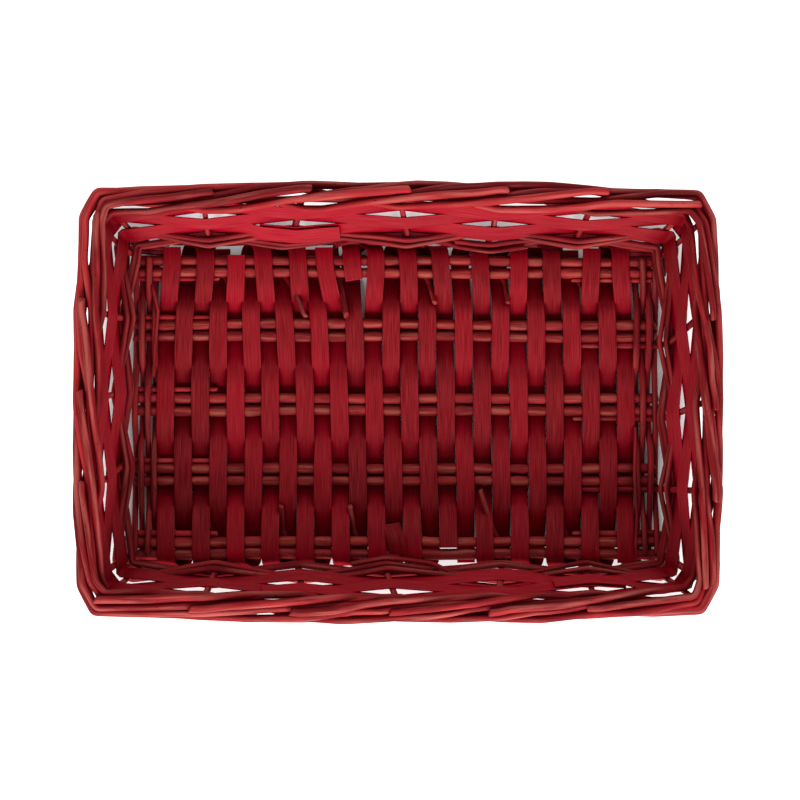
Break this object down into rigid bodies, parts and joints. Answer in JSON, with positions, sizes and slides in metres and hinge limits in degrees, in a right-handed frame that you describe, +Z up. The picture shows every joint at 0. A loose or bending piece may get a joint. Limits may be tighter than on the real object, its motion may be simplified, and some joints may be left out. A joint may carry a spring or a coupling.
{
  "type": "wicker storage tray",
  "caption": "Low rectangular wicker tray with flared open walls of round rods and flat splints, a woven stick-and-strip base and a braided rod border, for small goods.",
  "frame": {"origin": "on the floor under the middle of the tray", "axes": "+X along the length to the right, +Y across to the back wall, +Z up out of the open top"},
  "size_m": [0.3998, 0.2718, 0.0829],
  "materials": {
    "stick": "stained willow stick, brownish red with dark knots and splits",
    "strip": "stained wood splint, matt, fine grain along the strip",
    "thin_rod": "stained thin willow rod, satin",
    "stake": "stained willow rod, salmon red, satin, with scars and cut ends",
    "band": "stained wood splint, bright crimson, matt, fine grain along the band"
  },
  "bodies": {
    "root": {"base_stick_1a": "stick", "base_stick_1b": "stick", "base_stick_2a": "stick", "base_stick_2b": "stick", "base_stick_3a": "stick", "base_stick_3b": "stick", "base_stick_4a": "stick", "base_stick_4b": "stick", "base_stick_5a": "stick", "base_stick_5b": "stick", "base_strip_1": "strip", "base_strip_2": "strip", "base_strip_3": "strip", "base_strip_4": "strip", "base_strip_5": "strip", "base_strip_6": "strip", "end_rod_left_1": "thin_rod", "end_rod_left_2": "thin_rod", "end_rod_left_3": "thin_rod", "end_rod_left_4": "thin_rod", "end_rod_right_1": "thin_rod", "end_rod_right_2": "thin_rod", "end_rod_right_3": "thin_rod", "end_rod_right_4": "thin_rod", "stake_back_1": "stake", "stake_back_2": "stake", "stake_back_3": "stake", "stake_back_4": "stake", "stake_back_5": "stake", "stake_back_6": "stake", "corner_post_back_right": "stake", "stake_right_1": "stake", "stake_right_2": "stake", "stake_right_3": "stake", "stake_right_4": "stake", "corner_post_front_right": "stake", "stake_front_1": "stake", "stake_front_2": "stake", "stake_front_3": "stake", "stake_front_4": "stake", "stake_front_5": "stake", "stake_front_6": "stake", "corner_post_front_left": "stake", "stake_left_1": "stake", "stake_left_2": "stake", "stake_left_3": "stake", "stake_left_4": "stake", "corner_post_back_left": "stake", "wale_rod_1": "thin_rod", "wale_rod_2": "thin_rod", "wale_rod_3": "thin_rod", "wale_rod_4": "thin_rod", "wall_band_1": "band", "wall_band_2": "band", "wall_band_3": "band"}
  },
  "joints": []
}
